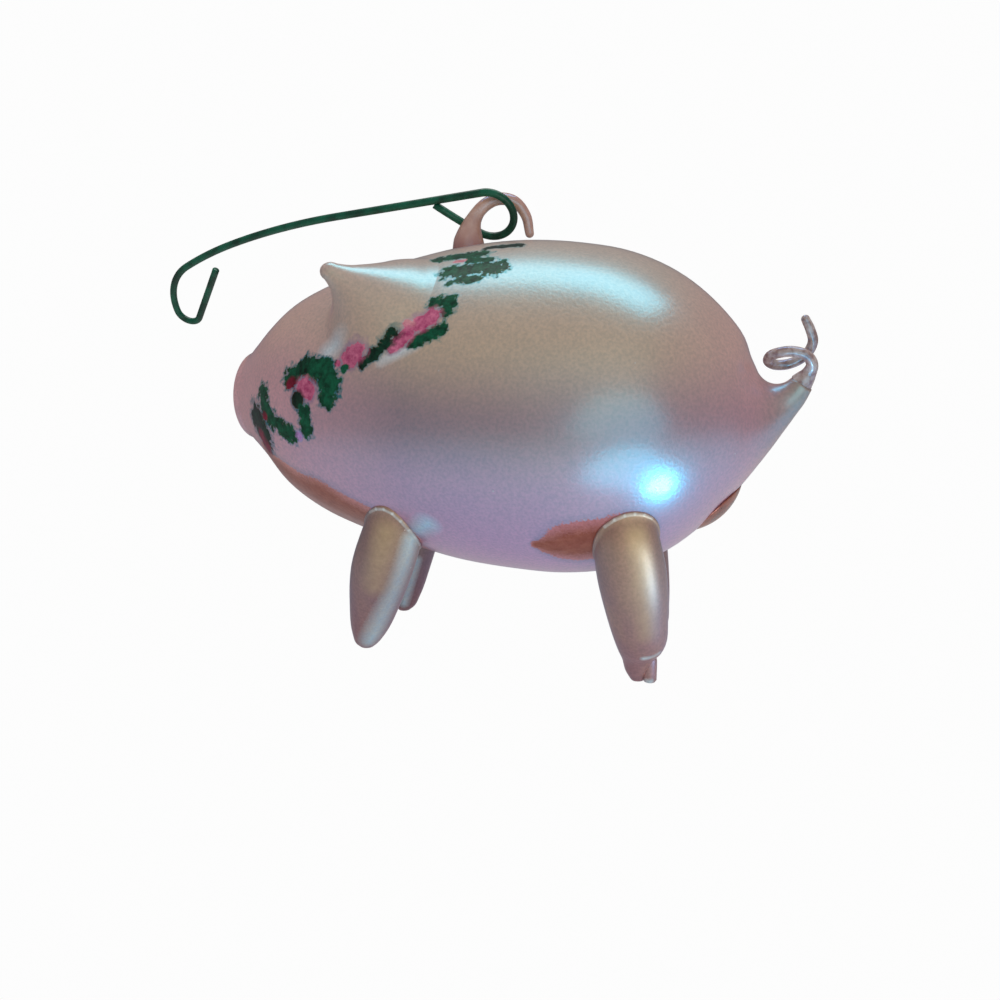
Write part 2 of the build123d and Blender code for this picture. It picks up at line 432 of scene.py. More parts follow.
brush, brush_in, brush_out = node_group(
    "brush_stroke",
    [("Place", "Vector"), ("Start", "Vector"), ("End", "Vector"), ("Half width", "Float"),
     ("Ragged", "Float"), ("Feather", "Float"), ("Under", "Color"), ("Paint", "Color"), ("Covered", "Float")],
    [("Colour", "Color"), ("Covered", "Float")],
)
stroke = {socket.name: socket for socket in brush_in.outputs}
stroke_line = vector_of(brush, "SUBTRACT", stroke["End"], stroke["Start"])
stroke_reach = vector_of(brush, "SUBTRACT", stroke["Place"], stroke["Start"])
stroke_share = joined(
    brush, "Math",
    (0, vector_of(brush, "DOT_PRODUCT", stroke_reach, stroke_line)),
    (1, vector_of(brush, "DOT_PRODUCT", stroke_line, stroke_line)),
    operation="DIVIDE", use_clamp=True,
).outputs[0]
stroke_offset = joined(brush, "VectorMath", (0, stroke_line), ("Scale", stroke_share), operation="SCALE")
stroke_near = vector_of(brush, "ADD", stroke["Start"], stroke_offset.outputs[0])
stroke_far = vector_of(brush, "DISTANCE", stroke["Place"], stroke_near)
stroke_out = sum_of(brush, "ADD", sum_of(brush, "DIVIDE", stroke_far, stroke["Half width"]), stroke["Ragged"])
stroke_edge = sum_of(brush, "DIVIDE", sum_of(brush, "SUBTRACT", stroke_out, 1.0), stroke["Feather"])
stroke_cover = mapped(brush, stroke_edge, -1, 1, 1, 0)
fed(brush, brush_out, ("Colour", mixed(brush, stroke_cover, stroke["Under"], stroke["Paint"])),
    ("Covered", sum_of(brush, "MAXIMUM", stroke["Covered"], stroke_cover)))


def painted(name, strokes, lump_size):
    """A group that paints strokes (paint, start, end, half width) on both sides, torn at their edges."""
    group, group_in, group_out = node_group(
        name, [("Colour", "Color")], [("Colour", "Color"), ("Covered", "Float")])
    place = object_place(group)
    both_sides = vector_of(group, "ABSOLUTE", vector_of(group, "MULTIPLY", place, (0, 1, 0)))
    place = vector_of(group, "ADD", vector_of(group, "MULTIPLY", place, (1, 0, 1)), both_sides)
    bristles = varied(group, noise(group, place, lump_size, detail=4, roughness=0.6), -1, 1)
    streaks = mapped(group, noise(group, place, streak_size, detail=3, roughness=0.7), *streak_span, 0, 1)
    colours, edges = {}, {}
    colour, covered = group_in.outputs["Colour"], 0.0
    for paint, start, end, half_width in strokes:
        dark, light, raggedness, feather = paints[paint]
        if paint not in colours:
            colours[paint] = mixed(group, streaks, dark, light)
            edges[paint] = sum_of(group, "MULTIPLY", bristles, raggedness)
        node = grouped(group, brush, ("Place", place), ("Start", start), ("End", end),
                       ("Half width", half_width * millimetre), ("Ragged", edges[paint]),
                       ("Feather", feather), ("Under", colour), ("Paint", colours[paint]),
                       ("Covered", covered))
        colour, covered = node.outputs["Colour"], node.outputs["Covered"]
    fed(group, group_out, ("Colour", colour), ("Covered", covered))
    return group


placed_strokes = []
for paint, start, end, half_width in garland_strokes:
    placed_strokes.append((paint, on_side(*start), on_side(*end), half_width))
garland = painted("garland", placed_strokes, bristle_size)

# Face and patches: eyes and nostrils are painted dots, set close to the middle. Under the chin and
# in front of the rear legs, red-brown patches without film are painted shade and dark reflection.
# Beside the front legs, below the ears and along the garland, paler patches are painted highlights.
eye_place = (-38.6, 73)
eye_half_width = 0.8
nostril_bottom = (snout_end, 1.9, axis_height + snout_rise)
nostril_top = (snout_end, 1.9, axis_height + snout_rise + 0.6)
nostril_half_width = 0.75
spray_size = 0.0003
face_strokes = [
    ("black", on_side(*eye_place), on_side(*eye_place), eye_half_width),
    ("black", at(*nostril_bottom), at(*nostril_top), nostril_half_width),
]
# Painted shade: dark red-brown patches that stand in for the legs' shadow and dark reflection.
shade_strokes = [
    ("painted shade", on_side(-36, -37), on_side(-33, -40.5), 2.6),
    ("painted shade", on_side(-33, -40.5), on_side(-26, -42), 3.2),
    ("painted shade", on_side(-26, -42), on_side(-15, -51), 3.6),
    ("painted shade", on_side(-33, -62), on_side(-16, -66), 4.5),
    ("painted shade", on_side(6.6, -42.3), on_side(9, -43), 0.9),
    ("painted shade", on_side(8.5, -43), on_side(10, -43), 2.0),
    ("painted shade", on_side(11.5, -42.6), on_side(17, -42), 4.0),
]
# Painted highlights: pale patches that stand in for light and the legs' bright reflection.
highlight_strokes = [
    ("painted blue reflection", at(-11.0, 15.6, 20.2), at(-8.4, 17.8, 22.0), 1.2),
    ("painted white highlight", at(-22.6, 17.4, 44.2), at(-19.2, 17.1, 46.8), 1.1),
    ("painted white highlight", at(-13.6, 19.8, 43.4), at(-8.6, 20.7, 46.0), 0.6),
]
film_over_paint = 0.8
film_over_patch = 0.4
paint_roughness = 0.15
bare_shine = 0.5
painted_shine = 0.12

face = painted("face", face_strokes, bristle_size)
painted_shade_patches = painted("painted_shade_patches", shade_strokes, spray_size)
painted_highlight_patches = painted("painted_highlight_patches", highlight_strokes, spray_size)

pearl_glass, pearl_tree, pearl_shader = new_material("pearl_glass")
pearl_sides = joined(pearl_tree, "SeparateXYZ", ("Vector", object_place(pearl_tree)))
body_level = pearl_sides.outputs["Z"]
body_station = sum_of(pearl_tree, "SUBTRACT", pearl_sides.outputs["X"], belly.x)
tone = ramp(pearl_tree, mapped(pearl_tree, body_level, pearl_low, pearl_high, 0, 1), pearl_tones_and_painted_reflection)
head_share = sum_of(
    pearl_tree, "MULTIPLY",
    mapped(pearl_tree, body_station, -head_reach[0], -head_reach[1], 1, 0),
    mapped(pearl_tree, body_level, *head_level, *head_share_range),
)
rump_share = mapped(pearl_tree, body_station, *rump_reach, 0, rump_share_most)
tone = mixed(pearl_tree, sum_of(pearl_tree, "MAXIMUM", head_share, rump_share), tone, end_tone)
tone = mixed(pearl_tree, mapped(pearl_tree, body_station, *tail_reach, 0, 1), tone, tail_tone)
# Painted highlights go under the lacquer's grain. Painted shade goes over it and turns its film off.
highlighted_tone = grouped(pearl_tree, painted_highlight_patches, ("Colour", tone))
coats = grouped(pearl_tree, pearl, ("Tone", highlighted_tone.outputs["Colour"]))
patched = grouped(pearl_tree, painted_shade_patches, ("Colour", coats.outputs["Colour"]))
garlanded = grouped(pearl_tree, garland, ("Colour", patched.outputs["Colour"]))
faced = grouped(pearl_tree, face, ("Colour", garlanded.outputs["Colour"]))
paint_over = sum_of(pearl_tree, "MAXIMUM", garlanded.outputs["Covered"], faced.outputs["Covered"])
film_off = sum_of(pearl_tree, "MAXIMUM", paint_over, patched.outputs["Covered"])
film_on = sum_of(pearl_tree, "MULTIPLY", sum_of(pearl_tree, "LESS_THAN", paint_over, film_over_paint),
                 sum_of(pearl_tree, "LESS_THAN", patched.outputs["Covered"], film_over_patch))
painted_rougher = sum_of(pearl_tree, "MULTIPLY", paint_over, paint_roughness)
fed(pearl_tree, pearl_shader,
    ("Base Color", faced.outputs["Colour"]),
    ("Roughness", sum_of(pearl_tree, "ADD", coats.outputs["Roughness"], painted_rougher)),
    ("Specular IOR Level", mapped(pearl_tree, film_off, 0, 1, bare_shine, painted_shine)),
    ("Thin Film Thickness", sum_of(pearl_tree, "MULTIPLY", coats.outputs["Film"], film_on)),
    ("Thin Film IOR", film_index),
    ("Coat Weight", 0.1),
    ("Coat Roughness", 0.15),
    ("Sheen Weight", 0.15),
    ("Sheen Roughness", 0.3),
    ("Sheen Tint", (0.85, 0.55, 1.0, 1)))
bumped(pearl_tree, pearl_shader, coats.outputs["Height"], grain_height)
body_look.data.materials.append(pearl_glass)

# Melted joints: what is melted on meets the body in a hollow or a bead round its root, which is given as
# steps down to the body: how far each stands off the body, and how far it is spread out.
joint_steps = 8
joint_sink = 0.03
joint_depth = 1


def hollow(radius):
    """A quarter round, hollow, as where soft glass is drawn up out of the body."""
    bends = [radians(90 * step / joint_steps) for step in range(joint_steps + 1)]
    return [(radius * (1 - sin(bend)), radius * (1 - cos(bend))) for bend in bends]


def bead(radius, spread):
    """A half round, raised, as where a hot drop is pressed onto the body."""
    bends = [radians(180 * step / joint_steps) for step in range(joint_steps + 1)]
    return [(radius * (1 + cos(bend)), spread * sin(bend)) for bend in bends]


def place_at(heights, level):
    """How many steps down a line, given its points' heights over the body, it comes down to that level."""
    after = next(i for i, height in enumerate(heights) if height < level)
    return after - 1 + (heights[after - 1] - level) / (heights[after - 1] - heights[after])


def along_line(line, place):
    start = min(int(place), len(line) - 2)
    return line[start].lerp(line[start + 1], place - start)


def joined_column(line, middle, steps, joint, soft_side):
    """Points down a line from the free end to the body, the last of them shaped by the joint."""
    heights = [clearance(point) for point in line]
    joint_place = place_at(heights, joint[0][0] * millimetre)
    column = [along_line(line, joint_place * step / steps) for step in range(steps)]
    axis, radius = body_axis(column[-1])
    outward = (column[-1] - axis).normalized()
    spread = column[-1] - middle
    spread = (spread - outward * spread.dot(outward)).normalized()
    softness = 1 + max(0, spread.dot(soft_side))
    for step, (level, reach) in enumerate(joint):
        point = along_line(line, place_at(heights, level * millimetre))
        sink = joint_sink * step / joint_steps
        column.append(on_body(point + spread * reach * softness * millimetre, (level - sink) * millimetre))
    return column


def melted_skin(rings, joint, steps=24, places_round=96, soft_side=Vector((0, 0, 0))):
    """A closed skin over rings of (middle, side, up, radius) in metres, from the free end into the body."""
    middle = next(middle for middle, side, up, radius in rings if clearance(middle) < 0)
    columns = []
    for place in range(places_round):
        turn = 2 * pi * place / places_round
        line = [centre + (side * cos(turn) + up * sin(turn)) * radius for centre, side, up, radius in rings]
        columns.append(joined_column(line, middle, steps, joint, soft_side))
    buried = on_body(middle, -joint_depth * millimetre)
    rows = len(columns[0]) + 1

    def place(row, share):
        column = columns[round(share * places_round) % places_round]
        return column[row] if row < rows - 1 else buried

    return wrapped_skin(rows, places_round, place)


# Ears: cones pulled out of the hot glass, leaning towards the snout, with a melted tip, under the same
# lacquer as the body. Each ring is how far it stands along the line from root to tip, and its radius.
ear_root_station = -16.6
ear_root_angle = 47.5
ear_body_radius = 20.9
ear_tip = (-21.9, 17.0, 54.8)
ear_rings = [(1.0, 1.3), (0.85, 1.8), (0.6, 3.15), (0.3, 5.2), (0.0, 7.5), (-0.28, 9.0), (-0.6, 10.6)]
ear_root_lean = 0.25
ear_turning = 0.6
ear_hollow = 0.6
ear_steps = 6
ear_soft_side = Vector((-0.6, 0, -1.2))
dome_step = 15


def ear_frames(side):
    """The ear's rings on one side, from lying on the body at the root to facing along the ear at the tip."""
    angle = radians(ear_root_angle)
    outward = Vector((-ear_root_lean, side * cos(angle), sin(angle))).normalized()
    root_out = ear_body_radius * cos(angle)
    root = at(ear_root_station, side * root_out, axis_height + ear_body_radius * sin(angle))
    tip = at(ear_tip[0], side * ear_tip[1], ear_tip[2])
    lean = (tip - root).normalized()
    tip_radius = ear_rings[0][1]
    rows = []
    for bend in range(0, 90, dome_step):
        reach = tip_radius * cos(radians(bend)) * millimetre / (tip - root).length
        rows.append((1 + reach, tip_radius * sin(radians(bend))))
    rows += [tuple(row) for row in smooth_rows(ear_rings, ear_steps)]
    frames = []
    for share, radius in rows:
        facing = (outward + (lean - outward) * min(max(share, 0), 1) * ear_turning).normalized()
        across = facing.cross(Vector((1, 0, 0))).normalized()
        frames.append((root + (tip - root) * share, across, facing.cross(across), radius * millimetre))
    return frames


for name, side in (("ear_left", -1), ("ear_right", 1)):
    ear_skin = melted_skin(ear_frames(side), hollow(ear_hollow), soft_side=ear_soft_side)
    ear_look = finished(name, ear_skin, "pig")
    ear_look.data.materials.append(pearl_glass)

# Legs: drops of solid glass melted on under the belly, each with a small flat where it stands. They have
# the lacquer too, over browner glass. Each ring is its station, distance out, height and radius.
leg_rings = {
    "leg_front_left": [
        (-22.1, 9.0, 0.0, 0.9),
        (-22.0, 9.1, 0.7, 1.65),
        (-21.5, 9.4, 2.2, 2.4),
        (-19.8, 10.5, 7.6, 3.75),
        (-17.6, 11.9, 14.4, 4.6),
        (-15.5, 13.0, 20.0, 4.3),
        (-13.4, 14.2, 25.5, 3.6),
    ],
    "leg_front_right": [
        (-23.5, 8.7, 0.0, 0.9),
        (-23.4, 8.8, 0.7, 1.65),
        (-23.3, 9.0, 2.2, 2.3),
        (-22.7, 9.6, 7.6, 3.5),
        (-21.6, 10.4, 14.4, 4.2),
        (-20.2, 11.2, 20.0, 3.9),
        (-19.0, 12.0, 25.5, 3.2),
    ],
    "leg_rear_left": [
        (18.8, 9.4, 0.0, 0.9),
        (18.75, 9.6, 1.4, 1.6),
        (18.9, 10.0, 3.2, 2.15),
        (19.2, 10.4, 4.6, 2.95),
        (18.85, 11.9, 10.4, 4.15),
        (18.15, 13.5, 17.0, 4.6),
        (17.6, 14.8, 22.5, 4.1),
        (17.2, 14.0, 27.0, 3.2),
    ],
    "leg_rear_right": [
        (18.2, 9.4, 0.0, 0.9),
        (18.1, 9.5, 1.4, 1.9),
        (17.4, 10.0, 5.0, 2.8),
        (16.1, 10.9, 10.4, 3.7),
        (14.7, 11.9, 17.0, 4.1),
        (13.8, 12.6, 22.5, 3.8),
        (13.2, 12.4, 27.0, 3.0),
    ],
}
leg_side = {"leg_front_left": -1, "leg_front_right": 1, "leg_rear_left": -1, "leg_rear_right": 1}
leg_steps = 6
leg_column_steps = 40
foot_flat = 0.7
leg_bead = 0.24
leg_bead_spread = 0.22
leg_tones = [(0.3, (0.34, 0.17, 0.15)), (0.5, (0.40, 0.21, 0.17)), (0.7, (0.47, 0.27, 0.19))]
leg_film_level = (0.002, 0.022)
leg_film_range = (192, 242)
leg_roughness = (0.45, 0.52)
leg_streak_stretch = (1, 1, 0.06)
leg_streak_size = 0.006
# Painted highlights on the legs: pale blue and gold streaks where light catches them, and pale lines
# at the stub's ledge and foot. Each is its paint, where it starts and ends, and half its width.
leg_painted_highlights = [
    ("painted pale highlight", at(-12.2, 14.6, 19), at(-20.5, 11.3, 1.4), 1.2),
    ("painted pale highlight", at(-20.4, 6.9, 9.2), at(-22.8, 6.9, 1.6), 0.6),
    ("painted gold highlight", at(-15, 16.7, 20), at(-17.6, 15.2, 12), 1.3),
    ("painted gold highlight", at(19.6, 17.9, 22.5), at(20.9, 15.2, 8.5), 1.0),
    ("painted pale highlight", at(20.2, 13.1, 4.5), at(21.8, 11.9, 5.2), 0.35),
    ("painted pale highlight", at(20.2, 10.75, 0.2), at(20.9, 10.7, 0.3), 0.35),
]
# A painted highlight follows the bead round the near legs' roots, in degrees from the tail side outwards.
highlight_seam_half_width = 0.17
highlight_seam_turns = {"leg_front_left": range(0, 141, 20), "leg_rear_left": range(20, 121, 20)}


def leg_root(name, degrees):
    """Where the leg's skin meets the body, so many degrees round it from the tail side outwards."""
    turn = radians(degrees)
    rows = smooth_rows(leg_rings[name], leg_steps)
    line = [at(x + radius * cos(turn), out + radius * sin(turn), z) for x, out, z, radius in rows]
    return along_line(line, place_at([clearance(point) for point in line], leg_bead * millimetre))


for name, turns in highlight_seam_turns.items():
    roots = [leg_root(name, degrees) for degrees in turns]
    for first, last in zip(roots, roots[1:]):
        leg_painted_highlights.append(("painted seam highlight", first, last, highlight_seam_half_width))

leg_glass, leg_tree, leg_shader = new_material("leg_glass")
leg_place = object_place(leg_tree)
leg_level = joined(leg_tree, "SeparateXYZ", ("Vector", leg_place)).outputs["Z"]
leg_streaks = noise(leg_tree, vector_of(leg_tree, "MULTIPLY", leg_place, leg_streak_stretch), leg_streak_size)
leg_coats = grouped(leg_tree, pearl, ("Tone", ramp(leg_tree, leg_streaks, leg_tones)))
# The legs' painted highlights go over their lacquer.
leg_painting = painted("leg_painted_highlights", leg_painted_highlights, spray_size)
leg_painted = grouped(leg_tree, leg_painting, ("Colour", leg_coats.outputs["Colour"]))
fed(leg_tree, leg_shader,
    ("Base Color", leg_painted.outputs["Colour"]),
    ("Roughness", varied(leg_tree, leg_streaks, *leg_roughness)),
    ("Specular IOR Level", 0.4),
    ("Thin Film Thickness", mapped(leg_tree, leg_level, *leg_film_level, *leg_film_range)),
    ("Thin Film IOR", 1.7),
    ("Sheen Weight", 0.4),
    ("Sheen Roughness", 0.3),
    ("Sheen Tint", (0.72, 0.72, 1.0, 1)))
bumped(leg_tree, leg_shader, leg_coats.outputs["Height"], grain_height)

for name, rings in leg_rings.items():
    side = leg_side[name]
    x, out, z, radius = rings[0]
    rows = [(x, out, z, 0), (x, out, z, radius * foot_flat)]
    rows += [tuple(row) for row in smooth_rows(rings, leg_steps)]
    frames = []
    for x, out, z, radius in rows:
        frames.append((at(x, side * out, z), Vector((1, 0, 0)), Vector((0, 1, 0)), radius * millimetre))
    leg_skin = melted_skin(frames, bead(leg_bead, leg_bead_spread), steps=leg_column_steps)
    leg_look = finished(name, leg_skin, "pig")
    leg_look.data.materials.append(leg_glass)


# Rods: glass drawn thin and bent while hot, or wire. A rod's rings carry their sides on from one to the
# next, so that it doesn't twist.
rod_steps = 10
rod_film_index = 1.9


def rod_rings(places, radii, first_side, dome=True):
    """Rings (middle, side, up, radius) down a rod through the places, round at its last end."""
    rings = []
    side = first_side
    for i, (place, radius) in enumerate(zip(places, radii)):
        along = (places[min(i + 1, len(places) - 1)] - places[max(i - 1, 0)]).normalized()
        side = (side - along * side.dot(along)).normalized()
        rings.append((place, side, along.cross(side), radius))
    if dome:
        for bend in range(dome_step, 90 + dome_step, dome_step):
            reach = along * radii[-1] * sin(radians(bend))
            rings.append((places[-1] + reach, side, along.cross(side), radii[-1] * cos(radians(bend))))
    return [(places[0], rings[0][1], rings[0][2], 0)] + rings


def rod_skin(rings, places_round=32):
    def place(row, share):
        middle, side, up, radius = rings[row]
        return middle + (side * cos(2 * pi * share) + up * sin(2 * pi * share)) * radius

    return wrapped_skin(len(rings), places_round, place)


# Stub: the end of the rod that the near rear leg was drawn from, left standing against its foot.
# Each ring is its height and its radius.
stub_place = (20.55, -9.8)
stub_rings = [(0, 0), (0, 0.57), (0.08, 0.76), (0.38, 0.95), (1.2, 0.95), (2.2, 0.95), (3.1, 0.93),
              (3.5, 0.85), (3.75, 0.6), (3.8, 0)]

stub_frames = []
for height, radius in stub_rings:
    stub_frames.append((at(*stub_place, height), Vector((1, 0, 0)), Vector((0, 1, 0)), radius * millimetre))
leg_stub = smooth_object("leg_stub", rod_skin(stub_frames))
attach(leg_stub, "pig")
leg_stub.data.materials.append(leg_glass)

# Tail: the rod drawn on from the tail cone, curled once round and left standing up. It is nearly clear,
# with only a breath of lacquer. Each size is how far along the rod it is, and the radius there.
tail_route = [
    (37.8, 0.0, 40.4),
    (38.6, -0.3, 41.6),
    (39.0, -0.9, 42.9),
    (38.4, -1.5, 44.0),
    (36.7, -1.8, 44.6),
    (35.0, -1.6, 44.45),
    (33.7, -0.8, 43.9),
    (33.4, 0.2, 43.2),
    (34.1, 1.2, 42.65),
    (35.5, 1.8, 42.6),
    (37.1, 1.7, 43.2),
    (38.4, 1.2, 44.4),
    (38.9, 0.6, 45.9),
    (38.5, 0.2, 47.3),
    (37.8, 0.0, 48.7),
]
tail_sizes = [(0, 1.5), (0.04, 1.25), (0.075, 1.0), (0.11, 0.85), (0.15, 0.76), (0.22, 0.71), (0.66, 0.7),
              (0.85, 0.66), (0.95, 0.62), (1, 0.56)]
tail_tones = [(0.35, (0.46, 0.28, 0.23)), (0.5, (0.72, 0.56, 0.49)), (0.65, (0.92, 0.80, 0.75))]
tail_streak_size = 0.0012
tail_streak_height = 0.00005
tail_roughness = (0.1, 0.2)

tail_places = [at(*place) for place in smooth_rows(tail_route, rod_steps)]
tail_shares, tail_share_radii = zip(*tail_sizes)
tail_radii = np.interp(np.linspace(0, 1, len(tail_places)), tail_shares, tail_share_radii) * millimetre
tail_skin = rod_skin(rod_rings(tail_places, list(tail_radii), Vector((0, 1, 0))))
tail_look = finished("tail_curl", tail_skin, "pig")

tail_glass, tail_tree, tail_shader = new_material("tail_glass")
tail_streaks = noise(tail_tree, object_place(tail_tree), tail_streak_size, detail=3)
fed(tail_tree, tail_shader,
    ("Base Color", ramp(tail_tree, tail_streaks, tail_tones)),
    ("Roughness", varied(tail_tree, tail_streaks, *tail_roughness)),
    ("Transmission Weight", 0.25),
    ("Thin Film Thickness", 178),
    ("Thin Film IOR", rod_film_index))
bumped(tail_tree, tail_shader, tail_streaks, tail_streak_height)
tail_look.data.materials.append(tail_glass)

# Crook: a rod melted onto the back and bent over towards the tail, for the wire. It is tan, redder at the
# root. Its route lies in an upright plane turned away from the pig's length: along the plane, then up.
crook_foot = (-7.6, 0, 58.3)
crook_turn = 30
crook_route = [
    (-1.0, -1.6),
    (-0.95, 1.1),
    (-0.4, 3.4),
    (0.95, 5.35),
    (3.0, 6.5),
    (5.65, 6.2),
    (7.3, 4.3),
    (7.85, 1.9),
]
crook_sizes = [2.5, 2.3, 2.15, 1.8, 1.4, 1.1, 0.95, 0.92, 0.9, 0.88, 0.86, 0.82, 0.78, 0.75, 0.72, 0.68, 0.63]
crook_tones = [(0.3, (0.64, 0.34, 0.25)), (0.7, (0.80, 0.49, 0.36))]
crook_red = (0.42, 0.13, 0.09, 1)
crook_red_level = (0.0585, 0.0608)
crook_red_share = 0.6
crook_cloud_size = 0.0022
crook_cloud_height = 0.00006
crook_roughness = (0.2, 0.3)
crook_places_round = 48
crook_along = Vector((cos(radians(crook_turn)), sin(radians(crook_turn)), 0))
crook_side = Vector((sin(radians(crook_turn)), -cos(radians(crook_turn)), 0))


def in_crook_plane(along, up):
    return at(*crook_foot) + (crook_along * along + Vector((0, 0, up))) * millimetre


crook_places = [in_crook_plane(*place) for place in smooth_rows(crook_route, rod_steps)]
crook_shares = np.linspace(0, len(crook_sizes) - 1, len(crook_places))
crook_radii = np.interp(crook_shares, range(len(crook_sizes)), crook_sizes) * millimetre
crook_skin = rod_skin(rod_rings(crook_places, list(crook_radii), crook_side), crook_places_round)
crook_look = finished("hanging_crook", crook_skin, "pig")

crook_glass, crook_tree, crook_shader = new_material("crook_glass")
crook_place = object_place(crook_tree)
crook_clouds = noise(crook_tree, crook_place, crook_cloud_size, detail=3)
crook_level = joined(crook_tree, "SeparateXYZ", ("Vector", crook_place)).outputs["Z"]
crook_base = mapped(crook_tree, crook_level, *crook_red_level, crook_red_share, 0)
fed(crook_tree, crook_shader,
    ("Base Color", mixed(crook_tree, crook_base, ramp(crook_tree, crook_clouds, crook_tones), crook_red)),
    ("Roughness", varied(crook_tree, crook_clouds, *crook_roughness)),
    ("Thin Film Thickness", 180),
    ("Thin Film IOR", rod_film_index))
bumped(crook_tree, crook_shader, crook_clouds, crook_cloud_height)
crook_look.data.materials.append(crook_glass)

# Seal: the closed end of the blowing tube, melted off there and rounded in the flame: a low dome of
# red-brown glass under the rump, without lacquer.
seal_place = (27.4, 0, 22.6)
seal_radius = 4.6
seal_rise = 1.3
seal_slope = 46
seal_steps = 12
seal_depth = 0.4
seal_tones = [(0.35, (0.16, 0.03, 0.025)), (0.65, (0.38, 0.11, 0.07))]
seal_patch_size = 0.002
seal_patch_height = 0.00006
seal_roughness = (0.22, 0.4)
seal_places_round = 64

seal_ball = (seal_radius ** 2 + seal_rise ** 2) / (2 * seal_rise)
seal_facing = Vector((cos(radians(seal_slope)), 0, -sin(radians(seal_slope))))
seal_across = Vector((0, 1, 0))
seal_rings = []
for step in range(seal_steps + 1):
    bend = acos(1 - (seal_rise + seal_depth) / seal_ball) * step / seal_steps
    middle = at(*seal_place) + seal_facing * (seal_rise - seal_ball * (1 - cos(bend))) * millimetre
    ring_radius = seal_ball * sin(bend) * millimetre
    seal_rings.append((middle, seal_across, seal_across.cross(seal_facing), ring_radius))
seal_rings.append((*seal_rings[-1][:3], 0))
seal_look = finished("blowing_seal", rod_skin(seal_rings, seal_places_round), "pig")

seal_glass, seal_tree, seal_shader = new_material("seal_glass")
seal_patches = noise(seal_tree, object_place(seal_tree), seal_patch_size, detail=3)
fed(seal_tree, seal_shader,
    ("Base Color", ramp(seal_tree, seal_patches, seal_tones)),
    ("Roughness", varied(seal_tree, seal_patches, *seal_roughness)))
bumped(seal_tree, seal_shader, seal_patches, seal_patch_height)
seal_look.data.materials.append(seal_glass)

# Wire: one length of green-coated wire, with an eye on the crook and an open hook at the far end.
# It lies in a plane that runs along the pig and leans over to the near side.
# Each bend is a length of wire and how far it turns over it.
wire_radius = 0.55
hanger_lean = 35
eye_centre = (-0.9, -1.15)
eye_radius = 3.5
eye_steps = 40
shank_dip = 8
eye_turn = 215 + shank_dip
free_end_length = 7.25
free_end_lift = 0.5
wire_bends = [(23.5, 0), (20.2, -9.7), (10.9, -8.7), (11.2, -60), (5.2, -146), (12.1, 0)]
wire_step = 0.4
wire_tones = [(0.35, (0.001, 0.045, 0.025)), (0.65, (0.003, 0.130, 0.070))]
wire_mark_size = 0.003
wire_rub_size = 0.0008
wire_rub_height = 0.00004
wire_roughness = (0.24, 0.42)
wire_places_round = 24

hanger_side = Vector((0, cos(radians(hanger_lean)), sin(radians(hanger_lean))))
hanger_along = Vector((-1, 0, 0))
hanger_up = hanger_side.cross(hanger_along)


def on_eye(degrees, away=0):
    """A point of the eye in the wire's plane, or that far off it down the free end, which curves up."""
    turn = radians(degrees)
    lift = free_end_lift * (away / free_end_length) ** 2
    return (eye_centre[0] + eye_radius * cos(turn) - away * sin(turn),
            eye_centre[1] + eye_radius * sin(turn) + away * cos(turn) + lift)


eye_start = 90 - shank_dip
wire_flat = [on_eye(eye_start + eye_turn, free_end_length * share) for share in (1, 0.8, 0.6, 0.4, 0.2)]
wire_flat += [on_eye(degrees) for degrees in np.linspace(eye_start + eye_turn, eye_start, eye_steps + 1)]
heading = radians(-shank_dip)
for length, turn in wire_bends:
    steps = max(2, round(length / wire_step))
    for step in range(steps):
        heading += radians(turn) / steps / 2
        along, up = wire_flat[-1]
        stride = length / steps
        wire_flat.append((along + cos(heading) * stride, up + sin(heading) * stride))
        heading += radians(turn) / steps / 2
rod_in_eye = in_crook_plane(*crook_route[3])
wire_places = [rod_in_eye + (hanger_along * along + hanger_up * up) * millimetre for along, up in wire_flat]
wire_rings = rod_rings(wire_places, [wire_radius * millimetre] * len(wire_places), hanger_side, dome=False)
wire_rings.append((*wire_rings[-1][:3], 0))
wire_look = finished("wire_hanger", rod_skin(wire_rings, wire_places_round), "hanger")

green_wire, wire_tree, wire_shader = new_material("green_wire")
wire_place = object_place(wire_tree)
wire_marks = noise(wire_tree, wire_place, wire_mark_size, detail=3)
wire_rubs = noise(wire_tree, wire_place, wire_rub_size, detail=3)
fed(wire_tree, wire_shader,
    ("Base Color", ramp(wire_tree, wire_marks, wire_tones)),
    ("Roughness", varied(wire_tree, wire_rubs, *wire_roughness)))
bumped(wire_tree, wire_shader, wire_rubs, wire_rub_height)
wire_look.data.materials.append(green_wire)

# Room: a plain pale table that the feet stand on, in a pale room. To glossy rays the table glows with a
# painted pool of light, brightest in front of the rear legs and darker further out.
floor_size = 3
room_light = 0.22
pool_middle = (60, -30, 0)
pool_reach = (0.02, 0.2)
painted_pool_glow = (0.95, 0.25)
white = (0.98, 0.98, 0.98, 1)

floor_skin = bmesh.new()
bmesh.ops.create_grid(floor_skin, x_segments=1, y_segments=1, size=floor_size)
floor = smooth_object("floor", floor_skin)
floor_material, floor_tree, floor_shader = new_material("floor")
fed(floor_tree, floor_shader, ("Base Color", (0.8, 0.8, 0.8, 1)), ("Roughness", 0.9))
floor_glow = joined(floor_tree, "Emission", ("Color", white))
floor_path = joined(floor_tree, "LightPath")
# Painted pool of light: the table's glow, which only shows in reflections.
pool_distance = vector_of(floor_tree, "DISTANCE", object_place(floor_tree), at(*pool_middle))
pool_strength = mapped(floor_tree, pool_distance, *pool_reach, *painted_pool_glow)
floor_painted_pool = joined(floor_tree, "Emission", ("Strength", pool_strength))
floor_mirrored = joined(floor_tree, "MixShader", ("Fac", floor_path.outputs["Is Glossy Ray"]),
                        (1, floor_shader.outputs[0]), (2, floor_painted_pool.outputs[0]))
floor_seen = joined(floor_tree, "MixShader", ("Fac", floor_path.outputs["Is Camera Ray"]),
                    (1, floor_mirrored.outputs[0]), (2, floor_glow.outputs[0]))
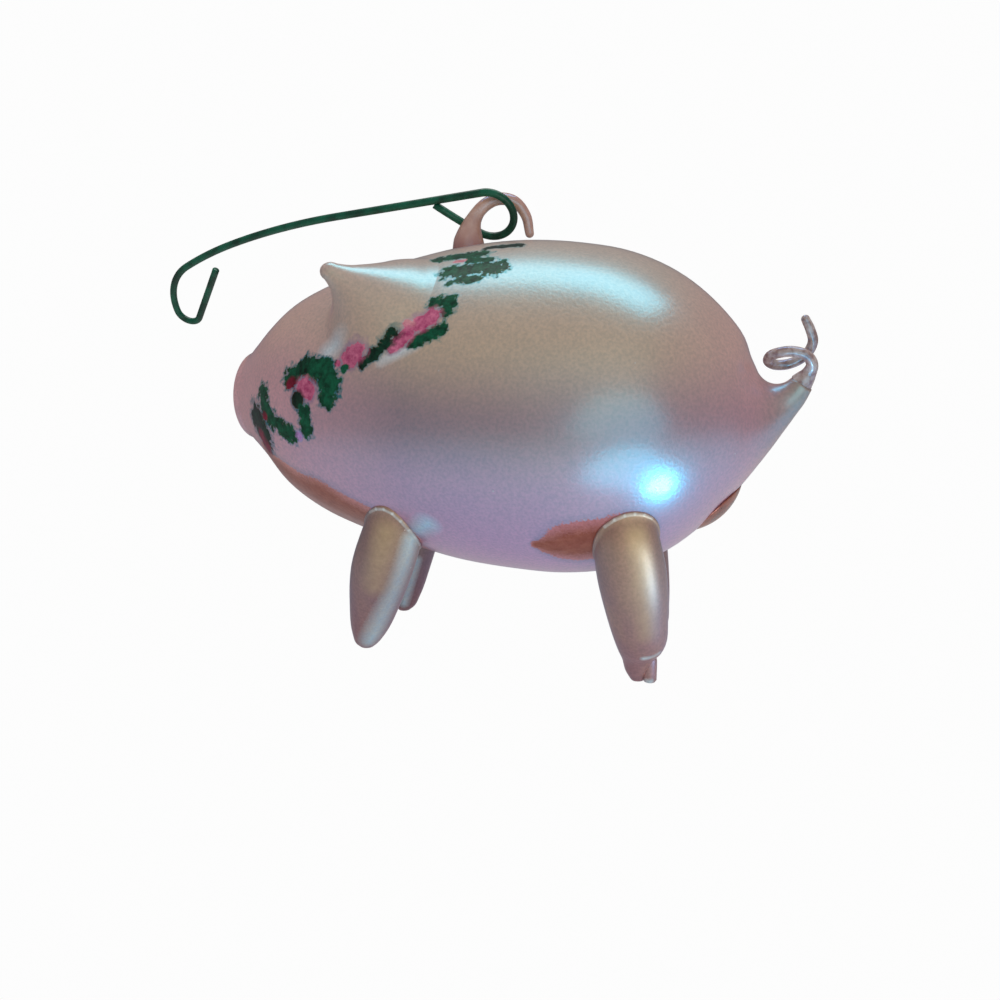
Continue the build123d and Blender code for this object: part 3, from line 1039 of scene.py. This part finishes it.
fed(floor_tree, floor_tree.nodes["Material Output"], ("Surface", floor_seen.outputs[0]))
floor.data.materials.append(floor_material)

room = bpy.data.worlds.new("room")
room.use_nodes = True
bpy.context.scene.world = room
room_tree = room.node_tree
room_dim = fed(room_tree, room_tree.nodes["Background"], ("Color", (1, 1, 1, 1)), ("Strength", room_light))
room_white = joined(room_tree, "Background", ("Color", white))
room_path = joined(room_tree, "LightPath")
room_seen = joined(room_tree, "MixShader", ("Fac", room_path.outputs["Is Camera Ray"]),
                   (1, room_dim.outputs[0]), (2, room_white.outputs[0]))
fed(room_tree, room_tree.nodes["World Output"], ("Surface", room_seen.outputs[0]))


# Lights: a long soft panel overhead and a broad fill from in front, which light the pig, and three round
# glows low beside the rear legs, which only show in what is glossy. Each glow is its place, its width in
# metres, its power and its colour.
pig_middle = (0, 0, 36)
overhead_place = (8, 100, 450)
overhead_size = (0.5, 0.18)
overhead_power = 0.85
fill_place = (180, -420, 240)
fill_size = (0.6, 0.4)
fill_power = 0.85
low_glows = {
    "low_glow": ((49, -24, 3), 0.014, 0.027, (1.0, 0.5, 0.48)),
    "low_halo": ((38, -40, 3), 0.046, 0.0095, (1.0, 1.0, 1.0)),
    "side_glow": ((110, -150, 5), 0.2, 0.1, (1.0, 0.82, 0.78)),
}


def panel(name, place, width, depth, power):
    """A soft rectangular lamp at a place in millimetres by the belly, facing the pig's middle."""
    light = bpy.data.lights.new(name, "AREA")
    light.shape = "RECTANGLE"
    light.size = width
    light.size_y = depth
    light.energy = power
    lamp = bpy.data.objects.new(name, light)
    lamp.location = at(*place)
    lamp.rotation_euler = (at(*pig_middle) - at(*place)).to_track_quat("-Z", "Y").to_euler()
    lamp.visible_camera = False
    bpy.context.scene.collection.objects.link(lamp)
    return lamp


panel("overhead", overhead_place, *overhead_size, overhead_power)
fill = panel("fill", fill_place, *fill_size, fill_power)
fill.visible_glossy = False
for name, (place, width, power, colour) in low_glows.items():
    glow = panel(name, place, width, width, power)
    glow.data.shape = "DISK"
    glow.data.color = colour
    glow.visible_diffuse = False
